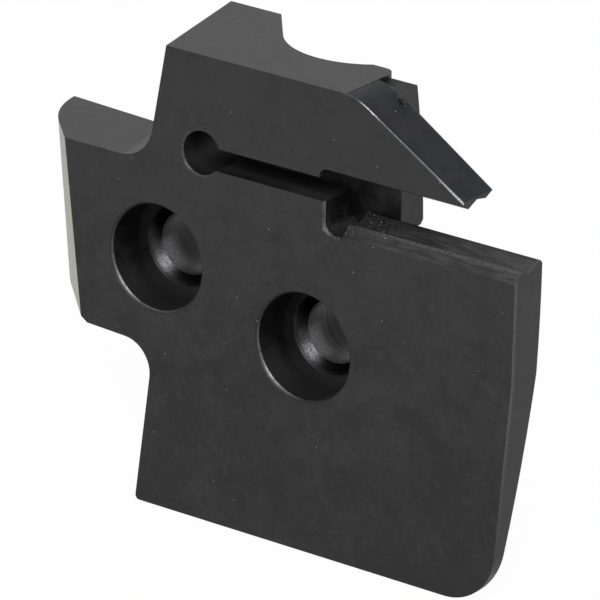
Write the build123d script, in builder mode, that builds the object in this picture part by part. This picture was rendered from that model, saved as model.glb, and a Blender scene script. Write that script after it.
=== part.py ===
from build123d import *
import os
from math import cos, radians, sin, tan

# Face grooving blade: one machined steel piece, held on its tool holder by two screws.
# x runs forward to the cutting end, y from the screw-head side to the holder side, z up.
# The origin is the rear screw's axis where it meets the seating face on the holder side.
# All sizes are in millimetres. A depth is measured from the flat screw-head face.

# Thicknesses
plate_thickness = 10.5
tab_rear_thickness = 10.1
tab_root_thickness = 9.1
head_thickness = 14.6
land_thickness = 8.4
shoulder_thickness = 8.6
blade_thickness = 4.6

# Levels
head_top_z = 22.5
tab_top_z = 10.0
ledge_z = 7.6
bottom_z = -26.4

# Screw holes
screw_pitch_x = 18.1
screw_pitch_z = -4.9
head_recess_diameter = 11.0
head_recess_depth = 4.4
screw_seat_diameter = 8.6
screw_hole_diameter = 6.6
recess_edge_chamfer = 0.3

# Rear tab
tab_near_x = -11.5
tab_far_x = -18.2
tab_bevel = 3.5
tab_bevel_lean = 6.95
tab_bottom_z = -8.95
tab_bottom_slope = 2.7
tab_low_chamfer = 0.5

# Rear walls of the plate and the head
plate_rear_x = -2.2
plate_rear_lean = 6.65
plate_rear_radius = 3.3
plate_corner_radius = 0.5
head_rear_x = 0.93
head_rear_lean = 9.8
head_rear_sweep = 11.7
head_rear_radius = 4.0

# Front end of the plate, behind the thin blade
plate_front_x = 25.0
plate_front_chamfer = 2.1

# Scoop in the head, milled from the holder side, with a straight rear wall
scoop_radius = 8.4
scoop_x = 14.5
scoop_web = 6.55
scoop_wall_angle = 38.0

# Shoulder that backs the upper jaw and the insert pocket
shoulder_front_x = 26.2
shoulder_step_x = 22.6
shoulder_step_radius = 1.3
shoulder_curve_radius = 100.0
shoulder_curve_z = 4.0
shoulder_edge_chamfer = 0.15
shoulder_chamfer = 0.6
shoulder_top_drop = 1.05
shoulder_top_slope = 19.0

# Upper jaw
jaw_tip_x = 36.6
jaw_tip_z = 14.65
jaw_slope = 31.2
jaw_bend_radius = 6.5
jaw_edge_chamfer = 0.15
jaw_tip_thickness = 4.85
jaw_root_thickness = 5.35

# Thin blade under the insert, curved on its holder side
front_x = 42.8
front_break_z = -2.5
front_lean = 4.2
front_corner_radius = 5.75
blade_curve_radius = 145.0

# Insert pocket: a shallow vee runs along each jaw in the middle of the blade
seat_near_z = 7.8
seat_near_bevel = 40.0
seat_far_chamfer = 0.35
lower_vee_z = 8.3
upper_vee_z = 14.4
jaw_lip_z = 14.25
jaw_ridge_depth = 0.85
jaw_far_ridge_z = 14.1
vee_flank = 23.0

# Rear end of the pocket
pocket_rear_x = 20.35
pocket_rear_radius = 1.3
pocket_rear_chamfer = 0.25
pocket_roof_x = 19.65
pocket_roof_z = 14.25
pocket_roof_radius = 1.0
pocket_relief_z = 7.55

# Slot that lets the upper jaw spring, and the round hole that ends it
slot_bottom_z = 10.9
slot_top_z = 13.25
shoulder_slit_height = 1.0
relief_hole_x = 5.35
relief_hole_z = 12.3
relief_hole_diameter = 4.5
relief_hole_chamfer = 0.2


# Sizes that follow from the ones above
near_y = -plate_thickness
overrun = 3.0
blade_middle = blade_thickness / 2
vee_slope = tan(radians(vee_flank))
seat_slope = tan(radians(seat_near_bevel))
seat_ridge_depth = (lower_vee_z - seat_near_z + blade_middle * vee_slope) / (seat_slope + vee_slope)
seat_ridge_z = seat_near_z + seat_ridge_depth * seat_slope
seat_far_depth = blade_thickness - seat_far_chamfer
seat_far_z = lower_vee_z + (seat_far_depth - blade_middle) * vee_slope
jaw_ridge_z = upper_vee_z - (blade_middle - jaw_ridge_depth) * vee_slope
jaw_lip_slope = (jaw_lip_z - jaw_ridge_z) / jaw_ridge_depth
head_sweep = tan(radians(head_rear_sweep))
front_screw = (screw_pitch_x, screw_pitch_z)
cone_depth = (screw_seat_diameter - screw_hole_diameter) / 2


def leaning_x(x, z, lean, other_z):
    """Where a wall through x at z, leaning by so many degrees, is at another height."""
    return x + (other_z - z) * tan(radians(lean))


def side_plane(depth=0.0):
    """Side view at a depth from the screw-head face: local x forward, local y up."""
    return Plane.XZ.offset(-near_y - depth)


def section_plane(x):
    """Cross-section at a station along the blade: local x along y, local y up."""
    return Plane.YZ.offset(x)


def at_depth(*points):
    """Section points given as depth and height, moved to the shared frame."""
    return [(near_y + depth, z) for depth, z in points]


def tab_section(z):
    """Plan outline at one height: the tab's bevel leans, the end wall behind it doesn't."""
    near_x = leaning_x(tab_near_x, tab_top_z, -tab_bevel_lean, z)
    bevel_end_x = tab_near_x - tab_bevel
    bevel_end = (bevel_end_x, near_y + near_x - bevel_end_x)
    with BuildSketch(Plane.XY.offset(z)) as section:
        with BuildLine():
            Line((near_x, near_y), bevel_end)
            TangentArc(bevel_end, (tab_far_x, tab_rear_y), tangent=(-1, 1))
            Polyline(
                (tab_far_x, tab_rear_y),
                (tab_step_x, tab_root_y),
                (tab_step_x, 0),
                (front_x, 0),
                (front_x, near_y),
                (near_x, near_y),
            )
        make_face()
    return section.sketch


def tab_bottom_at(x):
    """Height of the tab's sloping underside, which passes tab_bottom_z at the bevel."""
    low_x = leaning_x(tab_near_x, tab_top_z, -tab_bevel_lean, tab_bottom_z)
    return tab_bottom_z - (x - low_x) * tan(radians(tab_bottom_slope))


head_wall_low_x = leaning_x(head_rear_x, head_top_z, head_rear_lean, tab_top_z)
tab_step_x = head_wall_low_x - plate_thickness * head_sweep
tab_rear_y = near_y + tab_rear_thickness
tab_root_y = near_y + tab_root_thickness
plate_wall_x = leaning_x(plate_rear_x, bottom_z, plate_rear_lean, tab_bottom_z)
tab_inner_corner = (plate_wall_x, tab_bottom_at(plate_wall_x))
tab_outer_corner = (tab_far_x, tab_bottom_at(tab_far_x))
head_wall_high_z = tab_top_z + 2 * head_rear_radius
head_wall_high_x = leaning_x(head_rear_x, head_top_z, head_rear_lean, head_wall_high_z)

# Plate with its rear tab, which stands back from the seating face
with BuildPart() as plate:
    with BuildSketch(side_plane()) as plate_outline:
        with BuildLine():
            Polyline(
                (plate_front_x, bottom_z),
                (plate_rear_x, bottom_z),
                tab_inner_corner,
                tab_outer_corner,
                (tab_far_x, tab_top_z),
                (head_wall_low_x, tab_top_z),
                (head_wall_low_x, ledge_z),
                (plate_front_x, ledge_z),
                close=True,
            )
        make_face()
        corners = plate_outline.vertices()
        fillet(corners.sort_by_distance((plate_rear_x, bottom_z))[0], plate_corner_radius)
        corners = plate_outline.vertices()
        fillet(corners.sort_by_distance(tab_inner_corner)[0], plate_rear_radius)
    extrude(amount=-plate_thickness)
    loft([tab_section(tab_top_z), tab_section(bottom_z)], mode=Mode.INTERSECT)
    outer_edges = plate.edges().filter_by(lambda edge: edge.center().X < tab_near_x)
    low_edges = outer_edges.filter_by(lambda edge: edge.center().Z < tab_bottom_z + tab_low_chamfer)
    chamfer(low_edges, tab_low_chamfer)
    front_corner = plate.edges().filter_by(Axis.Z).sort_by(Axis.X)[-2:].sort_by(Axis.Y)[-1]
    chamfer(front_corner, plate_front_chamfer)

# Head: its rear wall leans and is swept, and a round scoop is cut into its holder side
with BuildPart() as head:
    with BuildSketch(side_plane()):
        with Locations((tab_near_x, ledge_z)):
            Rectangle(
                shoulder_step_x - tab_near_x,
                head_top_z - ledge_z,
                align=(Align.MIN, Align.MIN),
            )
    extrude(amount=-head_thickness)
    split(
        bisect_by=Plane(
            origin=(head_rear_x, near_y, head_top_z),
            z_dir=(1, head_sweep, -tan(radians(head_rear_lean))),
        ),
        keep=Keep.TOP,
    )
    with BuildSketch(side_plane(tab_root_thickness)):
        with Locations((tab_step_x, tab_top_z)):
            Rectangle(head_thickness, tab_top_z - ledge_z, align=(Align.MAX, Align.MAX))
    extrude(amount=tab_root_thickness - head_thickness, mode=Mode.SUBTRACT)
    with BuildSketch(Plane.XY.offset(ledge_z)):
        with Locations((scoop_x, near_y + scoop_web + scoop_radius)):
            Circle(scoop_radius)
            Rectangle(
                scoop_radius,
                head_thickness,
                rotation=scoop_wall_angle,
                align=(Align.MAX, Align.MIN),
            )
        with Locations((scoop_x, near_y + land_thickness)):
            Rectangle(shoulder_front_x, head_thickness, align=(Align.MIN, Align.MIN))
    extrude(amount=head_top_z - ledge_z, mode=Mode.SUBTRACT)
    step_corner = head.edges().filter_by(Axis.Z).sort_by(Axis.X)[-2:].sort_by(Axis.Y)[-1]
    fillet(step_corner, shoulder_step_radius)

# Rounded root where the rear wall meets the top of the tab, swept with the wall
with BuildPart() as root:
    with BuildSketch(side_plane()) as root_outline:
        with BuildLine():
            Polyline(
                (head_wall_low_x - 2 * head_rear_radius, tab_top_z),
                (head_wall_low_x, tab_top_z),
                (head_wall_high_x, head_wall_high_z),
                (head_wall_high_x + head_rear_radius, head_wall_high_z),
                (head_wall_high_x + head_rear_radius, ledge_z),
                (head_wall_low_x - 2 * head_rear_radius, ledge_z),
                close=True,
            )
        make_face()
        corners = root_outline.vertices()
        fillet(corners.sort_by_distance((head_wall_low_x, tab_top_z))[0], head_rear_radius)
    extrude(amount=plate_thickness, dir=(-head_sweep, 1, 0))
    with BuildSketch(Plane.XY.offset(ledge_z)):
        Polygon(
            (tab_far_x, near_y),
            (tab_far_x, tab_rear_y),
            (tab_step_x, tab_root_y),
            (front_x, tab_root_y),
            (front_x, near_y),
            align=None,
        )
    extrude(amount=head_top_z - ledge_z, mode=Mode.INTERSECT)

# Shoulder: its holder side is curved and its top slopes
with BuildPart() as shoulder:
    with BuildSketch(section_plane(shoulder_step_x)):
        with Locations((near_y + blade_thickness, ledge_z)):
            Rectangle(
                shoulder_thickness - blade_thickness,
                head_top_z - ledge_z,
                align=(Align.MIN, Align.MIN),
            )
        with Locations((near_y + shoulder_thickness - shoulder_curve_radius, shoulder_curve_z)):
            Circle(shoulder_curve_radius, mode=Mode.INTERSECT)
    extrude(amount=shoulder_front_x - shoulder_step_x)
    low_edge = shoulder.edges().filter_by(Axis.X).sort_by(Axis.Z)[:2].sort_by(Axis.Y)[-1]
    chamfer(low_edge, shoulder_chamfer)
    split(
        bisect_by=Plane(
            origin=(shoulder_step_x, near_y + blade_thickness, head_top_z - shoulder_top_drop),
            z_dir=(0, -sin(radians(shoulder_top_slope)), cos(radians(shoulder_top_slope))),
        ),
        keep=Keep.BOTTOM,
    )
    chamfer(shoulder.edges().filter_by(GeomType.CIRCLE).sort_by(Axis.X)[-1], shoulder_edge_chamfer)

# Upper jaw: its holder side tapers to the tip and a shallow vee runs along its underside
with BuildPart() as jaw:
    jaw_bend_x = jaw_tip_x - (head_top_z - jaw_tip_z) / tan(radians(jaw_slope))
    with BuildSketch(side_plane()) as jaw_outline:
        with BuildLine():
            Polyline(
                (relief_hole_x, slot_top_z),
                (jaw_tip_x, slot_top_z),
                (jaw_tip_x, jaw_tip_z),
                (jaw_bend_x, head_top_z),
                (relief_hole_x, head_top_z),
                close=True,
            )
        make_face()
        corners = jaw_outline.vertices()
        fillet(corners.sort_by_distance((jaw_bend_x, head_top_z))[0], jaw_bend_radius)
    extrude(amount=-shoulder_thickness)
    with BuildSketch(Plane.XY.offset(ledge_z)):
        Polygon(
            (relief_hole_x, near_y),
            (jaw_tip_x, near_y),
            (jaw_tip_x, near_y + jaw_tip_thickness),
            (shoulder_front_x, near_y + jaw_root_thickness),
            (relief_hole_x, near_y + jaw_root_thickness),
            align=None,
        )
    extrude(amount=head_top_z - ledge_z, mode=Mode.INTERSECT)
    bend_edges = jaw.faces().sort_by(Axis.Y)[0].edges().filter_by(
        lambda edge: edge.center().Z > jaw_tip_z and edge.center().X > shoulder_step_x
    )
    chamfer(bend_edges, jaw_edge_chamfer)
    with BuildSketch(section_plane(shoulder_step_x)):
        Polygon(
            *at_depth(
                (-overrun, jaw_lip_z + overrun * jaw_lip_slope),
                (jaw_ridge_depth, jaw_ridge_z),
                (blade_middle, upper_vee_z),
                (blade_thickness - jaw_ridge_depth, jaw_far_ridge_z),
                (blade_thickness + overrun, jaw_lip_z + overrun * jaw_lip_slope),
                (blade_thickness + overrun, ledge_z),
                (-overrun, ledge_z),
            ),
            align=None,
        )
    extrude(amount=front_x, mode=Mode.SUBTRACT)

# Thin blade: its holder side falls away in a curve and the insert's seat is on its top
with BuildPart() as blade:
    with BuildSketch(side_plane()) as blade_outline:
        low_x = leaning_x(front_x, front_break_z, front_lean, bottom_z)
        with BuildLine():
            Polyline(
                (scoop_x, bottom_z),
                (low_x, bottom_z),
                (front_x, front_break_z),
                (front_x, seat_far_z),
                (scoop_x, seat_far_z),
                close=True,
            )
        make_face()
        corners = blade_outline.vertices()
        fillet(corners.sort_by_distance((low_x, bottom_z))[0], front_corner_radius)
    extrude(amount=-blade_thickness)
    with BuildSketch(section_plane(scoop_x)):
        with Locations((near_y + blade_thickness - blade_curve_radius, ledge_z)):
            Circle(blade_curve_radius)
    extrude(amount=2 * front_x, mode=Mode.INTERSECT)
    with BuildSketch(section_plane(shoulder_step_x)):
        Polygon(
            *at_depth(
                (-overrun, seat_near_z - overrun * seat_slope),
                (seat_ridge_depth, seat_ridge_z),
                (blade_middle, lower_vee_z),
                (seat_far_depth, seat_far_z),
                (blade_thickness + overrun, seat_far_z - seat_far_chamfer - overrun),
                (blade_thickness + overrun, slot_bottom_z),
                (-overrun, slot_bottom_z),
            ),
            align=None,
        )
    extrude(amount=front_x, mode=Mode.SUBTRACT)

with BuildPart() as grooving_blade:
    add([plate.part, head.part, root.part, shoulder.part, jaw.part, blade.part])

    # Rounded relief across the rear end of the pocket
    with BuildSketch(side_plane(-overrun)) as relief:
        with Locations((shoulder_step_x, pocket_relief_z)):
            Rectangle(
                shoulder_step_x - pocket_rear_x,
                pocket_roof_z - pocket_relief_z,
                align=(Align.MAX, Align.MIN),
            )
        with Locations((shoulder_step_x, pocket_roof_z)):
            Rectangle(
                shoulder_step_x - pocket_roof_x,
                pocket_roof_z - slot_bottom_z,
                align=(Align.MAX, Align.MAX),
            )
        corners = relief.vertices()
        fillet(corners.sort_by_distance((pocket_rear_x, pocket_relief_z))[0], pocket_rear_radius)
        corners = relief.vertices()
        fillet(corners.sort_by_distance((pocket_roof_x, pocket_roof_z))[0], pocket_roof_radius)
    extrude(amount=-overrun - blade_thickness, mode=Mode.SUBTRACT)

    # Slot as deep as the thin blade, a narrower one right through, and the hole at their end
    with BuildSketch(side_plane(-overrun)):
        with Locations((relief_hole_x, slot_bottom_z)):
            Rectangle(
                pocket_rear_x - relief_hole_x,
                slot_top_z - slot_bottom_z,
                align=(Align.MIN, Align.MIN),
            )
    extrude(amount=-overrun - blade_thickness, mode=Mode.SUBTRACT)
    with BuildSketch(side_plane(-overrun)):
        with Locations((relief_hole_x, slot_top_z)):
            Rectangle(
                shoulder_front_x + overrun - relief_hole_x,
                shoulder_slit_height,
                align=(Align.MIN, Align.MAX),
            )
        with Locations((relief_hole_x, relief_hole_z)):
            Circle(relief_hole_diameter / 2)
    extrude(amount=-head_thickness - 2 * overrun, mode=Mode.SUBTRACT)

    # Screw holes with flat-bottomed head recesses and a cone down to the hole
    for screw in ((0, 0), front_screw):
        with BuildSketch(side_plane()):
            with Locations(screw):
                Circle(head_recess_diameter / 2)
        extrude(amount=-head_recess_depth, mode=Mode.SUBTRACT)
        with BuildSketch(side_plane(head_recess_depth)):
            with Locations(screw):
                Circle(screw_seat_diameter / 2)
        with BuildSketch(side_plane(head_recess_depth + cone_depth)):
            with Locations(screw):
                Circle(screw_hole_diameter / 2)
        loft(mode=Mode.SUBTRACT)
        with BuildSketch(side_plane()):
            with Locations(screw):
                Circle(screw_hole_diameter / 2)
        extrude(amount=-plate_thickness, mode=Mode.SUBTRACT)

    # Broken edges on the screw-head face
    near_edges = grooving_blade.faces().filter_by(Plane.XZ).sort_by(Axis.Y)[0].edges()
    arcs = near_edges.filter_by(GeomType.CIRCLE)
    chamfer(arcs.filter_by(lambda edge: edge.radius == head_recess_diameter / 2), recess_edge_chamfer)
    near_edges = grooving_blade.faces().filter_by(Plane.XZ).sort_by(Axis.Y)[0].edges()
    chamfer(near_edges.sort_by_distance((relief_hole_x, near_y, relief_hole_z))[0], relief_hole_chamfer)
    near_edges = grooving_blade.faces().filter_by(Plane.XZ).sort_by(Axis.Y)[0].edges()
    rear_edges = near_edges.filter_by_position(Axis.X, pocket_rear_x, shoulder_step_x)
    chamfer(rear_edges.filter_by_position(Axis.Z, pocket_relief_z, slot_bottom_z), pocket_rear_chamfer)

grooving_blade.part.label = "grooving_blade"
os.makedirs("parts", exist_ok=True)
export_step(grooving_blade.part, "parts/grooving_blade.step")
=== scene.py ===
import math
from collections import namedtuple

import bpy
from mathutils import Matrix, Vector


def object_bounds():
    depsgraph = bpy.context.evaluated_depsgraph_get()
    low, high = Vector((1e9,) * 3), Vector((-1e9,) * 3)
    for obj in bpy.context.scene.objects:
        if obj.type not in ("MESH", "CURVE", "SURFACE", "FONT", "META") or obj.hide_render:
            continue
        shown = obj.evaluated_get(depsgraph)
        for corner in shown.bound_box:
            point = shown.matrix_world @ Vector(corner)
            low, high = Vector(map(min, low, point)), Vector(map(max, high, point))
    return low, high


# Looks of the face grooving blade: blackened steel, photographed on white.
# The frame is the part's own, in metres: x to the cutting end, y to the holder side, z up.

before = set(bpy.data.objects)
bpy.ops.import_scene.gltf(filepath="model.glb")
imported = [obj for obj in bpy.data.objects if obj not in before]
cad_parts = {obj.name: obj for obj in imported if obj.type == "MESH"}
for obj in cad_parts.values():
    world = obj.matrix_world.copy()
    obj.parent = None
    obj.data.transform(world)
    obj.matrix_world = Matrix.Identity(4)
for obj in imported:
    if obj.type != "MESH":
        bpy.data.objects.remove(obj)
cad_box = [list(map(float, corner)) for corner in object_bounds()]

MM = 0.001
BLADE = "grooving_blade"
WHITE = (1.0, 1.0, 1.0, 1.0)

# Camera, as solved from the photograph's straight edges and round rims; it aims at a point
# given from the rear screw's axis and the screw-head face
CAMERA_AZIMUTH = 35.86
CAMERA_ELEVATION = 21.64
CAMERA_ROLL = 1.27
CAMERA_DISTANCE = 0.67745
CAMERA_AIM_MM = (12.498, 7.280, -3.584)
CAMERA_SEES = (0.05, 10.0)
FOCAL_PIXELS = 6862.6
IMAGE_PIXELS = 600
CENTRE_SHIFT_PIXELS = 0.5
SENSOR_MM = 36.0

# Light: the world's strength goes from its front to its rear value while a direction's y part
# goes from -WORLD_TURN to WORLD_TURN; one softbox is added, its place, aim and size in metres
WORLD_FRONT = 0.5
WORLD_REAR = 0.85
WORLD_TURN = 0.6
KEY_PLACE = (0.42, -0.61, 0.59)
KEY_AIM = (0.012, -0.005, 0.0)
KEY_SIZE = 0.45
KEY_POWER = 6.0

# Floor of white paper; the camera and the gloss see most of it as plain white
FLOOR_HALF_SIZE = 3.0
PAPER = (0.9, 0.9, 0.9, 1.0)
PLAIN_WHITE_SHARE = 0.96

# Linear colours of the open faces and the jaw, among them painted highlights on edges, a painted
# reflection in the bevel's tint and painted light on the low step
OXIDE_DARK = (0.0040, 0.0040, 0.0042, 1.0)
OXIDE_LIGHT = (0.0160, 0.0160, 0.0162, 1.0)
SMUDGE = (0.020, 0.020, 0.020, 1.0)
BLUE_TINT = (0.017, 0.023, 0.028, 1.0)
PURPLE_TINT = (0.026, 0.025, 0.033, 1.0)
FAR_EDGE_HIGHLIGHT = (0.085, 0.088, 0.095, 1.0)
EDGE_WEAR_AND_HIGHLIGHT = (0.10, 0.10, 0.115, 1.0)
BARE_STEEL_GLINT = (0.42, 0.41, 0.44, 1.0)
EDGE_HIGHLIGHT = (0.045, 0.045, 0.046, 1.0)
LOW_STEP_PAINTED_LIGHT = (0.045, 0.045, 0.045, 1.0)
BEVEL_TINT_AND_REFLECTION = (0.30, 0.30, 0.25, 1.0)

# Linear colours of the screw recesses: painted shade on the walls with painted light low down, turned
# rings on the cones, painted shade high in the bores, and painted highlights low on the rear side and
# on the rims
RECESS_SHADE_DARK = (0.012, 0.012, 0.012, 1.0)
RECESS_SHADE_LIGHT = (0.022, 0.022, 0.022, 1.0)
RECESS_PAINTED_LIGHT = (0.040, 0.040, 0.040, 1.0)
CONE_DARK = (0.008, 0.008, 0.008, 1.0)
CONE_LIGHT = (0.028, 0.028, 0.028, 1.0)
BORE_HIGH_SHADE = (0.004, 0.004, 0.0035, 1.0)
HOLE_HIGHLIGHT_DARK = (0.028, 0.028, 0.030, 1.0)
HOLE_HIGHLIGHT_LIGHT = (0.075, 0.075, 0.078, 1.0)
HOLE_HIGHLIGHT_BORE = (0.15, 0.15, 0.158, 1.0)
RIM_DARK = (0.035, 0.035, 0.035, 1.0)
RIM_HIGHLIGHT = (0.10, 0.10, 0.10, 1.0)

# Linear colours of the seat, the slot and the pocket, among them a painted highlight on the seat's
# ridge and at the pocket's edge, and painted light on the slot's floor
SEAT_DARK = (0.016, 0.016, 0.016, 1.0)
SEAT_LIGHT = (0.042, 0.042, 0.042, 1.0)
SEAT_RIDGE_HIGHLIGHT = (0.065, 0.065, 0.065, 1.0)
SLOT_FLOOR_PAINTED_LIGHT = (0.045, 0.045, 0.045, 1.0)
POCKET_EDGE_HIGHLIGHT = (0.10, 0.098, 0.095, 1.0)
CAKED = (0.050, 0.049, 0.047, 1.0)
DUST = (0.22, 0.215, 0.21, 1.0)

# Surface of the oxide: its roughness is the least value plus a share of the fine noise
OXIDE_IOR = 1.37
ROUGHNESS_LEAST = 0.36
ROUGHNESS_SPREAD = 0.16
MACHINED_ROUGHNESS = 0.38
RELIEF_STRENGTH = 0.12
RELIEF_MM = 0.04

# Modifiers that round the edges: the angles in degrees
WELD_MM = 0.001
FLAT_ANGLE = 0.25
SHARP_ANGLE = 20
EDGE_ROUNDING_MM = 0.1
ROUNDING_STEPS = 2

# Sizes and places on the blade, in millimetres and degrees. LOW_REAR points, in x and z, from a
# screw's axis to its low rear side; the taper and the tip's brightness are plain shares.
SCREWS_XZ = ((0.0, 0.0), (18.1, -4.9))
LOW_REAR = (-0.79, -0.615)
HEAD_TOP_Z = 22.5
JAW_TIP_X = 36.6
JAW_TIP_Z = 14.65
JAW_SLOPE = 31.2
JAW_BEND = 1.5
JAW_ROOT_THICKNESS = 5.35
JAW_TAPER = 0.048
SHOULDER_FRONT_X = 26.2
EDGE_BAND_WIDTH = 0.17
TIP_BAND_WIDTH = 0.14
TIP_BRIGHTNESS = 0.35

# Noises over the blade: features per millimetre, detail, and how each axis is squeezed
NOISES = {
    "coarse": (0.22, 3.0),
    "patches": (0.55, 2.0),
    "smudges": (0.9, 4.0),
    "clouds": (1.5, 4.0),
    "fine": (3.2, 3.0),
    "lumps": (4.0, 6.0),
    "hatch": (7.0, 1.0),
    "grit": (9.0, 2.0),
    "turned": (1.0, 2.0, (0.02, 9.0, 0.02)),
    "streaks": (1.0, 3.0, (0.4, 4.0, 4.0)),
}

# Grains: cells per millimetre, the share of cells that hold one, and its radius in millimetres,
# which varies from GRAIN_LEAST times that upwards
GRAINS = {"grains": (0.8, 0.2, 0.075), "crumbs": (3.0, 0.35, 0.06)}
GRAIN_LEAST = 0.4
SHARE_BLUR = 0.02

# Where a noise, a place or a slope starts to show something, and where it shows it in full
STEPS = {
    "painted_light_up": (-24.0, 20.0),
    "mottle_and_shade": (0.58, 1.06),
    "bluing": (0.40, 0.60),
    "along_far_side": (0.16, 0.08),
    "far_edge_highlight": (0.35, 0.55),
    "smudge": (0.6, 0.72),
    "recess_shade": (0.45, 0.6),
    "at_rear_screw": (6.2, 6.0),
    "wall_looks_up": (-0.1, -0.9),
    "wall_looks_down": (0.0, 0.5),
    "turning": (0.35, 0.65),
    "near_axis": (4.5, 4.3),
    "highlight_side": (0.76, 1.0),
    "past_cone": (5.0, 5.6),
    "cone_hatch": (0.35, 0.65),
    "bore_hatch": (0.3, 0.7),
    "rim_side": (0.55, 0.9),
    "rim_highlight": (0.2, 0.6),
    "streak": (0.35, 0.7),
    "ridge_highlight": (0.3, 0.6),
    "floor_looks_up": (0.3, 0.7),
    "near_tip": (32.5, 36.0),
    "band_border": (-0.03, 0.03),
    "glint_grit": (0.3, 0.6),
    "pocket_highlight": (0.25, 0.5),
    "on_rounding": (0.3, 0.8),
    "rounding_highlight": (0.3, 0.6),
    "front_highlight": (0.15, 0.6),
    "caking": (0.42, 0.72),
}

# Where each paint lies: x and z from the rear screw, depth from the screw-head face, radial from
# the nearer screw's axis, in millimetres, and the part of a face's direction along each axis.
# A border fades in between its first two values and, if it has four, out between the last two.
# Paint inside holes and slots stops before the holder side and leaves the faces that look there.
LOOKS_AWAY = (0.6, 0.3)
HOLDER_SIDE = (10.2, 10.35)
REGIONS = {
    "facet": {"faces_x": (0.04, 0.2), "faces_z": (0.6, 0.8), "x": (21.5, 23.0), "z": (13.5, 14.0)},
    "corner_behind_facet": {"x": (22.55, 22.7, 23.0, 24.4), "depth": (4.8, 5.4), "z": (20.5, 21.0)},
    "low_step": {
        "x": (22.46, 22.54, 22.66, 22.74),
        "z": (21.8, 22.0),
        "depth": (5.5, 5.3),
        "faces_x": (0.3, 0.6),
    },
    "recess": {"faces_y": LOOKS_AWAY, "depth": (0.2, 0.45, *HOLDER_SIDE), "radial": (5.75, 5.6)},
    "cone": {"faces_y": LOOKS_AWAY, "depth": (4.3, 4.5, *HOLDER_SIDE), "radial": (4.5, 4.3)},
    "hole_highlights": {"depth": (4.5, 4.9, 5.8, 8.4)},
    "rim": {"depth": (0.36, 0.32), "radial": (5.42, 5.48, 5.60, 5.70)},
    "seat": {"faces_z": (0.3, 0.5), "x": (22.5, 27.0), "z": (6.25, 6.55, 8.85, 9.15)},
    "seat_ridge": {"depth": (0.75, 1.05, 1.15, 1.45)},
    "seat_end": {"faces_z": (0.1, 0.3), "x": (42.35, 42.7), "z": (5.8, 6.4)},
    "slot": {
        "faces_y": LOOKS_AWAY,
        "x": (2.9, 3.1, 26.1, 26.3),
        "z": (7.3, 7.5, 14.5, 14.7),
        "depth": (0.2, 2.6, *HOLDER_SIDE),
    },
    "tab_bevel": {"faces_x": (-0.45, -0.6), "x": (-8.5, -9.0), "z": (9.95, 9.8)},
    "jaw_edge_wear_and_highlight": {"x": (21.5, 23.5), "depth": (0.16, 0.12)},
    "bend_highlight": {"x": (23.7, 24.7, 25.7, 26.7)},
    "pocket_edge": {
        "x": (20.12, 20.28, 20.67, 20.83),
        "z": (7.7, 8.1, 10.7, 11.1),
        "depth": (0.32, 0.2),
    },
    "rounded_edges": {"depth": (0.3, 0.2), "radial": (5.9, 6.2)},
    "behind_jaw": {"x": (22.5, 22.0)},
    "front_end": {"x": (42.2, 42.5)},
    "front_face": {"faces_x": (0.6, 0.9), "x": (38.0, 39.0), "z": (-22.0, -5.0), "depth": (0.75, 0.1)},
    "pocket_rear": {"x": (19.5, 21.1, 26.7, 28.3), "z": (6.4, 7.4, 9.1, 10.1), "depth": (0.1, 0.6)},
    "caked": {"depth": (4.62, 4.5)},
    "crumbs": {"depth": (4.6, 4.2)},
}

# Brings the product of two parts that add up to 1 to 1 where they are equal
HALFWAY_PEAK = 4.0

# Sockets of the mix node for numbers and for colours: its two inputs and its output
MIX_SOCKETS = {"FLOAT": (2, 3, 0), "RGBA": (6, 7, 2)}

# How a point lies to a screw: its distance from the axis, and its direction from there towards
# the low rear side and upwards
AroundScrew = namedtuple("AroundScrew", "radial low_rear up")

near_y = cad_box[0][1]
floor_z = cad_box[0][2]
camera_aim = Vector((0, near_y, 0)) + MM * Vector(CAMERA_AIM_MM)


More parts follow.
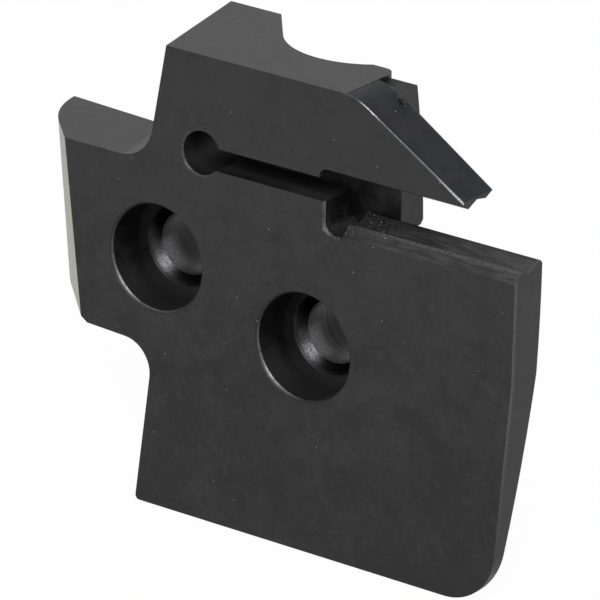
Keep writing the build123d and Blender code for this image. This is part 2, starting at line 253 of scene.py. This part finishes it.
class Nodes:
    """The nodes of a material or of the world, with helpers for masks, sums and blends."""

    def __init__(self, owner):
        owner.use_nodes = True
        self.tree = owner.node_tree
        self.tree.nodes.clear()

    def add(self, kind, **values):
        """A new node, its sockets and settings given by name."""
        node = self.tree.nodes.new(kind)
        for key, value in values.items():
            if key in node.inputs:
                node.inputs[key].default_value = value
            else:
                setattr(node, key, value)
        return node

    def feed(self, socket, value):
        """Links another node's output to a socket, or gives the socket a constant."""
        if isinstance(value, bpy.types.NodeSocket):
            self.tree.links.new(value, socket)
        else:
            socket.default_value = value

    def split(self, vector):
        """The three parts of a vector."""
        node = self.add("ShaderNodeSeparateXYZ")
        self.feed(node.inputs[0], vector)
        return node.outputs

    def calc(self, operation, *values):
        """The result of one of the math node's operations."""
        node = self.add("ShaderNodeMath", operation=operation)
        for socket, value in zip(node.inputs, values):
            self.feed(socket, value)
        return node.outputs[0]

    def total(self, *terms):
        """The sum of some values, each times its weight."""
        result = 0.0
        for value, weight in terms:
            result = self.calc("MULTIPLY_ADD", value, weight, result)
        return result

    def both(self, mask, *others):
        """Where all the masks are; a plain number weakens or strengthens them."""
        for other in others:
            mask = self.calc("MULTIPLY", mask, other)
        return mask

    def either(self, mask, *others):
        """Where at least one of the masks is."""
        for other in others:
            mask = self.calc("MAXIMUM", mask, other)
        return mask

    def fade(self, value, start, end):
        """0 at start and 1 at end, smooth between them."""
        node = self.add("ShaderNodeMapRange", interpolation_type="SMOOTHSTEP")
        self.feed(node.inputs["Value"], value)
        node.inputs["From Min"].default_value = start
        node.inputs["From Max"].default_value = end
        return node.outputs["Result"]

    def step(self, name, value):
        """How far a value shows something, by the named step."""
        return self.fade(value, *STEPS[name])

    def between(self, value, start, full, *finish):
        """Fades in from start to full and, if two more values are given, out between those."""
        mask = self.fade(value, start, full)
        if finish:
            last_full, gone = finish
            mask = self.both(mask, self.fade(value, gone, last_full))
        return mask

    def blend(self, mask, first, second, kind="RGBA"):
        """The first colour or number where the mask is 0, and the second where it is 1."""
        first_socket, second_socket, result = MIX_SOCKETS[kind]
        node = self.add("ShaderNodeMix", data_type=kind)
        self.feed(node.inputs["Factor"], mask)
        self.feed(node.inputs[first_socket], first)
        self.feed(node.inputs[second_socket], second)
        return node.outputs[result]

    def shows_background(self):
        """1 for the rays that show the background: from the camera, off gloss, through glass."""
        rays = self.add("ShaderNodeLightPath").outputs
        return self.either(rays["Is Camera Ray"], rays["Is Glossy Ray"], rays["Is Transmission Ray"])

    def mix_shaders(self, share, first, second):
        """The first shader where the share is 0, and the second where it is 1."""
        node = self.add("ShaderNodeMixShader")
        self.feed(node.inputs["Fac"], share)
        self.feed(node.inputs[1], first.outputs[0])
        self.feed(node.inputs[2], second.outputs[0])
        return node


class BlackenedSteel(Nodes):
    """Black oxide over milled steel, painted region by region over the whole blade."""

    def __init__(self, name):
        self.material = bpy.data.materials.new(name)
        super().__init__(self.material)
        coordinates = self.add("ShaderNodeTexCoord")
        scale = self.add("ShaderNodeVectorMath", operation="SCALE", Scale=1 / MM)
        self.feed(scale.inputs[0], coordinates.outputs["Object"])
        self.place = scale.outputs[0]
        self.x, y, self.z = self.split(self.place)
        self.depth = self.calc("SUBTRACT", y, near_y / MM)
        self.faces_x, self.faces_y, self.faces_z = self.split(coordinates.outputs["Normal"])
        self.screws = [self.around(*screw) for screw in SCREWS_XZ]
        rear, front = self.screws
        self.radial = self.calc("MINIMUM", rear.radial, front.radial)
        self.upward = self.blend(self.step("at_rear_screw", rear.radial), front.up, rear.up, "FLOAT")
        self.patches = self.noise("patches")
        self.fine = self.noise("fine")
        self.grit = self.noise("grit")
        self.turned = self.noise("turned")
        # Painted shade for the walls of recesses and slots, patchy with noise
        self.recess_shade = self.blend(self.step("recess_shade", self.patches), RECESS_SHADE_DARK, RECESS_SHADE_LIGHT)
        self.color = OXIDE_DARK
        self.metal = 0.0
        self.roughness = self.calc("MULTIPLY_ADD", self.fine, ROUGHNESS_SPREAD, ROUGHNESS_LEAST)

    def around(self, screw_x, screw_z):
        """How the point lies to a screw."""
        across = self.calc("SUBTRACT", self.x, screw_x)
        up = self.calc("SUBTRACT", self.z, screw_z)
        radial = self.calc("SQRT", self.total((across, across), (up, up)))
        rear_share, low_share = LOW_REAR
        low_rear = self.total((across, rear_share), (up, low_share))
        directions = [self.calc("DIVIDE", part, radial) for part in (low_rear, up)]
        return AroundScrew(radial, *directions)

    def noise(self, name):
        """One of the named noises, from 0 to 1."""
        per_mm, detail, *squeeze = NOISES[name]
        vector = self.place
        if squeeze:
            squeezed = self.add("ShaderNodeVectorMath", operation="MULTIPLY")
            self.feed(squeezed.inputs[0], self.place)
            squeezed.inputs[1].default_value = squeeze[0]
            vector = squeezed.outputs[0]
        node = self.add("ShaderNodeTexNoise", Scale=per_mm, Detail=detail)
        self.feed(node.inputs["Vector"], vector)
        return node.outputs["Fac"]

    def specks(self, name):
        """Small grains: only a share of the cells has one, of varied size."""
        per_mm, share, radius_mm = GRAINS[name]
        cells = self.add("ShaderNodeTexVoronoi", Scale=per_mm, Randomness=1.0)
        self.feed(cells.inputs["Vector"], self.place)
        pick = self.add("ShaderNodeSeparateColor")
        self.feed(pick.inputs[0], cells.outputs["Color"])
        chosen = self.fade(pick.outputs["Red"], share + SHARE_BLUR, share)
        radius = radius_mm * per_mm
        limit = self.calc("MULTIPLY_ADD", pick.outputs["Green"], radius, GRAIN_LEAST * radius)
        return self.both(chosen, self.calc("LESS_THAN", cells.outputs["Distance"], limit))

    def region(self, name):
        """Where a paint lies, by its borders."""
        borders = REGIONS[name].items()
        return self.both(*[self.between(getattr(self, what), *border) for what, border in borders])

    def paint(self, mask, color, strength=1.0, metal=0.0):
        """Lays a colour over what is there, and raises the metal's share where it is lower."""
        self.color = self.blend(self.both(mask, strength), self.color, color)
        if metal:
            self.metal = self.either(self.metal, self.both(mask, metal))

    def open_faces(self):
        """Mottled oxide, with painted light and shade: lighter high up and darker where a face looks
        forward, back or up.
        """
        shade_by_facing = self.either(self.calc("ABSOLUTE", self.faces_x), self.faces_z)
        # Height and face direction add painted light and shade; the noises are the oxide's own mottle
        mottle_and_shade = self.total(
            (self.step("painted_light_up", self.z), 0.22),
            (self.noise("coarse"), 0.45),
            (self.patches, 0.3),
            (self.fine, 0.3),
            (self.noise("clouds"), 0.4),
            (shade_by_facing, -0.16),
        )
        self.paint(self.step("mottle_and_shade", mottle_and_shade), OXIDE_LIGHT)

    def blued_facet(self):
        """The jaw's blued slope, a painted highlight along its far edge and painted shade in the
        corner behind it.
        """
        facet = self.region("facet")
        bluing = self.blend(self.step("bluing", self.patches), BLUE_TINT, PURPLE_TINT)
        self.paint(facet, bluing, metal=1.0)
        past_shoulder = self.calc("SUBTRACT", self.x, SHOULDER_FRONT_X)
        past_shoulder = self.calc("MAXIMUM", past_shoulder, 0.0)
        far_side = self.calc("MULTIPLY_ADD", past_shoulder, -JAW_TAPER, JAW_ROOT_THICKNESS)
        # Painted highlight: the strip along the far edge is made lighter where the noise allows
        along_far_side = self.step("along_far_side", self.calc("SUBTRACT", far_side, self.depth))
        highlight_share = self.step("far_edge_highlight", self.fine)
        self.paint(self.both(facet, along_far_side, highlight_share), FAR_EDGE_HIGHLIGHT)
        # Painted shade: the corner behind the facet gets the recesses' darkest colour and some metal
        self.paint(self.region("corner_behind_facet"), RECESS_SHADE_DARK, metal=0.7)

    def smudges(self):
        """Lighter smudges over all the faces painted so far."""
        self.paint(self.step("smudge", self.noise("smudges")), SMUDGE, strength=0.5)

    def screw_recesses(self):
        """Walls in painted shade with painted light low down; turned cones and bores, with painted
        shade high in the bores and a painted highlight low on their rear side; rims with a painted
        highlight on their low rear side.
        """
        # Painted light on the low walls, which look up
        looks_up = self.step("wall_looks_up", self.upward)
        self.paint(self.region("recess"), self.blend(looks_up, self.recess_shade, RECESS_PAINTED_LIGHT), metal=0.75)
        cone = self.region("cone")
        rings = self.blend(self.step("turning", self.turned), CONE_DARK, CONE_LIGHT)
        # Painted shade on the upper wall of the bores, which looks down
        looks_down = self.step("wall_looks_down", self.upward)
        self.paint(cone, self.blend(looks_down, rings, BORE_HIGH_SHADE), metal=1.0)
        self.hole_highlights()
        # Painted highlight on the rims' low rear side, broken up by noise
        rim = self.region("rim")
        low_side = self.either(*[self.step("rim_side", screw.low_rear) for screw in self.screws])
        highlight_share = self.both(low_side, self.step("rim_highlight", self.fine))
        self.paint(rim, self.blend(highlight_share, RIM_DARK, RIM_HIGHLIGHT), metal=1.0)
        machined = self.either(cone, rim)
        self.roughness = self.blend(machined, self.roughness, MACHINED_ROUGHNESS, "FLOAT")

    def hole_highlights(self):
        """Painted highlights low on the rear side of the cones and bores."""
        sides = [
            self.both(self.step("near_axis", screw.radial), self.step("highlight_side", screw.low_rear))
            for screw in self.screws
        ]
        highlit = self.both(self.either(*sides), self.region("hole_highlights"))
        hatch = self.noise("hatch")
        in_cone = self.blend(self.step("cone_hatch", hatch), HOLE_HIGHLIGHT_DARK, HOLE_HIGHLIGHT_LIGHT)
        in_bore = self.blend(self.step("bore_hatch", hatch), HOLE_HIGHLIGHT_LIGHT, HOLE_HIGHLIGHT_BORE)
        self.paint(highlit, self.blend(self.step("past_cone", self.depth), in_cone, in_bore))

    def insert_seat(self):
        """The seat on the support edge, streaked by the inserts pushed along it, with a painted
        highlight along its ridge.
        """
        seat = self.region("seat")
        streaks = self.step("streak", self.noise("streaks"))
        self.paint(seat, self.blend(streaks, SEAT_DARK, SEAT_LIGHT))
        # Painted highlight along the seat's ridge, broken up by noise
        highlight_share = self.step("ridge_highlight", self.fine)
        self.paint(self.both(seat, self.region("seat_ridge"), highlight_share), SEAT_RIDGE_HIGHLIGHT)

    def slot_and_pocket(self):
        """Painted shade in the slot and the pocket, deeper away from the screw-head face, and painted
        light on the floors that look up.
        """
        looks_up = self.step("floor_looks_up", self.faces_z)
        self.paint(self.region("slot"), self.blend(looks_up, self.recess_shade, SLOT_FLOOR_PAINTED_LIGHT), metal=0.7)

    def tab_bevel(self):
        """The tab's bevel, ground bare, its light tint partly a painted reflection of the floor."""
        self.paint(self.region("tab_bevel"), BEVEL_TINT_AND_REFLECTION, metal=0.5)

    def jaw_edge_wear_and_highlight(self):
        """Metal worn bare between the facet and the screw-head face, wider near the tip, and a painted
        highlight there, with painted glints at the bend and near the tip.
        """
        drop = math.tan(math.radians(JAW_SLOPE))
        slope = self.calc("MULTIPLY_ADD", self.x, -drop, JAW_TIP_Z + JAW_TIP_X * drop)
        top = self.calc("SMOOTH_MIN", slope, HEAD_TOP_Z, JAW_BEND)
        below_top = self.calc("SUBTRACT", top, self.z)
        near_tip = self.step("near_tip", self.x)
        width = self.total((self.fine, EDGE_BAND_WIDTH), (near_tip, TIP_BAND_WIDTH))
        in_width = self.step("band_border", self.calc("SUBTRACT", width, below_top))
        highlight_share = self.both(in_width, self.region("jaw_edge_wear_and_highlight"))
        # Painted highlight: a bright band, with glints of bare steel at the bend and near the tip
        bright = self.either(self.both(near_tip, TIP_BRIGHTNESS), self.region("bend_highlight"))
        glint = self.both(bright, self.step("glint_grit", self.grit))
        self.paint(highlight_share, self.blend(glint, EDGE_WEAR_AND_HIGHLIGHT, BARE_STEEL_GLINT), metal=1.0)

    def edge_highlights(self):
        """Painted highlights on edges: at the pocket, round the screw-head face and at the front; then
        painted light on the low step.
        """
        pocket_highlight = self.step("pocket_highlight", self.patches)
        self.paint(self.both(self.region("pocket_edge"), pocket_highlight), POCKET_EDGE_HIGHLIGHT)
        facing = self.calc("ABSOLUTE", self.faces_y)
        halfway_round = self.both(facing, self.calc("SUBTRACT", 1.0, facing), HALFWAY_PEAK)
        beside_jaw = self.either(self.region("behind_jaw"), self.region("front_end"))
        rounded = self.both(self.step("on_rounding", halfway_round), self.region("rounded_edges"))
        rounded = self.both(rounded, beside_jaw, self.step("rounding_highlight", self.fine))
        at_front = self.either(self.region("front_face"), self.region("seat_end"))
        at_front = self.both(at_front, self.step("front_highlight", self.fine))
        # Painted highlights on the rounded edges and at the front
        self.paint(self.either(rounded, at_front), EDGE_HIGHLIGHT)
        # Painted light: the low step is lightened so that its shaded crease shows less
        self.paint(self.region("low_step"), LOW_STEP_PAINTED_LIGHT)

    def dust_and_dirt(self):
        """Dirt caked at the rear of the pocket with crumbs on it, and stray grains."""
        pocket_rear = self.region("pocket_rear")
        lumps = self.step("caking", self.noise("lumps"))
        caked = self.both(pocket_rear, self.region("caked"), lumps)
        self.paint(caked, CAKED, strength=0.8)
        grains = self.specks("grains")
        self.paint(grains, DUST, strength=0.6)
        crumbs = self.both(pocket_rear, self.region("crumbs"), self.specks("crumbs"))
        self.paint(crumbs, DUST)
        clean = self.calc("SUBTRACT", 1.0, self.either(grains, crumbs, caked))
        self.metal = self.both(self.metal, clean)

    def relief(self):
        """The oxide's fine grain, and turned rings in the recesses."""
        rings = self.both(self.region("recess"), self.turned)
        height = self.total((self.fine, 0.5), (self.grit, 0.25), (rings, 2.0))
        bump = self.add("ShaderNodeBump", Strength=RELIEF_STRENGTH, Distance=RELIEF_MM * MM)
        self.feed(bump.inputs["Height"], height)
        return bump.outputs["Normal"]

    def finished(self):
        """Paints every region in turn and returns the material."""
        self.open_faces()
        self.blued_facet()
        self.smudges()
        self.screw_recesses()
        self.insert_seat()
        self.slot_and_pocket()
        self.tab_bevel()
        self.jaw_edge_wear_and_highlight()
        self.edge_highlights()
        self.dust_and_dirt()
        surface = self.add("ShaderNodeBsdfPrincipled")
        surface.inputs["IOR"].default_value = OXIDE_IOR
        self.feed(surface.inputs["Base Color"], self.color)
        self.feed(surface.inputs["Roughness"], self.roughness)
        self.feed(surface.inputs["Metallic"], self.metal)
        self.feed(surface.inputs["Normal"], self.relief())
        output = self.add("ShaderNodeOutputMaterial")
        self.feed(output.inputs["Surface"], surface.outputs["BSDF"])
        return self.material


def make_camera():
    """The photograph's camera, its centre half a pixel off as the photograph's is."""
    azimuth = math.radians(CAMERA_AZIMUTH)
    elevation = math.radians(CAMERA_ELEVATION)
    roll = math.radians(CAMERA_ROLL)
    level = math.cos(elevation)
    look = Vector((-math.sin(azimuth) * level, math.cos(azimuth) * level, -math.sin(elevation)))
    level_right = Vector((math.cos(azimuth), math.sin(azimuth), 0.0))
    level_up = level_right.cross(look)
    right = level_right * math.cos(roll) + level_up * math.sin(roll)
    up = right.cross(look)
    data = bpy.data.cameras.new("camera")
    data.sensor_width = SENSOR_MM
    data.lens = FOCAL_PIXELS / IMAGE_PIXELS * SENSOR_MM
    data.shift_x = -CENTRE_SHIFT_PIXELS / IMAGE_PIXELS
    data.shift_y = CENTRE_SHIFT_PIXELS / IMAGE_PIXELS
    data.clip_start, data.clip_end = CAMERA_SEES
    camera = bpy.data.objects.new("camera", data)
    turn = Matrix((right, up, -look)).transposed().to_4x4()
    camera.matrix_world = Matrix.Translation(camera_aim - look * CAMERA_DISTANCE) @ turn
    bpy.context.scene.collection.objects.link(camera)
    bpy.context.scene.camera = camera


def make_key_light():
    """A square softbox, turned to face the blade."""
    data = bpy.data.lights.new("key", "AREA")
    data.shape = "SQUARE"
    data.size = KEY_SIZE
    data.energy = KEY_POWER
    lamp = bpy.data.objects.new("key", data)
    lamp.location = KEY_PLACE
    lamp.rotation_euler = (Vector(KEY_AIM) - Vector(KEY_PLACE)).to_track_quat("-Z", "Y").to_euler()
    bpy.context.scene.collection.objects.link(lamp)


def make_world():
    """Soft white light, stronger from the rear; the background itself is plain white."""
    world = bpy.data.worlds.new("studio")
    bpy.context.scene.world = world
    nodes = Nodes(world)
    direction = nodes.split(nodes.add("ShaderNodeTexCoord").outputs["Generated"])
    sides = nodes.add("ShaderNodeMapRange")
    nodes.feed(sides.inputs["Value"], direction["Y"])
    sides.inputs["From Min"].default_value = -WORLD_TURN
    sides.inputs["From Max"].default_value = WORLD_TURN
    sides.inputs["To Min"].default_value = WORLD_FRONT
    sides.inputs["To Max"].default_value = WORLD_REAR
    light = nodes.add("ShaderNodeBackground", Color=WHITE)
    nodes.feed(light.inputs["Strength"], sides.outputs["Result"])
    white = nodes.add("ShaderNodeBackground", Color=WHITE, Strength=1.0)
    mix = nodes.mix_shaders(nodes.shows_background(), light, white)
    output = nodes.add("ShaderNodeOutputWorld")
    nodes.feed(output.inputs["Surface"], mix.outputs["Shader"])


def white_paper():
    """White paper that takes the blade's shadow and is plain white where it is seen."""
    material = bpy.data.materials.new("white_paper")
    nodes = Nodes(material)
    paper = nodes.add("ShaderNodeBsdfDiffuse", Color=PAPER)
    white = nodes.add("ShaderNodeEmission", Color=WHITE, Strength=1.0)
    plain = nodes.both(nodes.shows_background(), PLAIN_WHITE_SHARE)
    mix = nodes.mix_shaders(plain, paper, white)
    output = nodes.add("ShaderNodeOutputMaterial")
    nodes.feed(output.inputs["Surface"], mix.outputs["Shader"])
    return material


def make_floor():
    """The floor under the blade, which isn't part of it."""
    mesh = bpy.data.meshes.new("floor")
    size = FLOOR_HALF_SIZE
    corners = [(-size, -size), (size, -size), (size, size), (-size, size)]
    mesh.from_pydata([(*corner, floor_z) for corner in corners], [], [(0, 1, 2, 3)])
    mesh.materials.append(white_paper())
    floor = bpy.data.objects.new("floor", mesh)
    bpy.context.scene.collection.objects.link(floor)


def soften_edges(node):
    """Gives the node's sharp edges the small rounding that milled and blackened edges have."""
    weld = node.modifiers.new("weld", "WELD")
    weld.merge_threshold = WELD_MM * MM
    flatten = node.modifiers.new("flatten", "DECIMATE")
    flatten.decimate_type = "DISSOLVE"
    flatten.angle_limit = math.radians(FLAT_ANGLE)
    rounding = node.modifiers.new("rounding", "BEVEL")
    rounding.width = EDGE_ROUNDING_MM * MM
    rounding.segments = ROUNDING_STEPS
    rounding.limit_method = "ANGLE"
    rounding.angle_limit = math.radians(SHARP_ANGLE)
    normals = node.modifiers.new("normals", "WEIGHTED_NORMAL")
    normals.keep_sharp = False


bpy.context.scene.view_settings.view_transform = "Standard"
make_camera()
make_world()
make_floor()
make_key_light()

steel = BlackenedSteel("blackened_steel").finished()
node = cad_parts[BLADE]
for slot in node.material_slots:
    slot.material = steel
soften_edges(node)
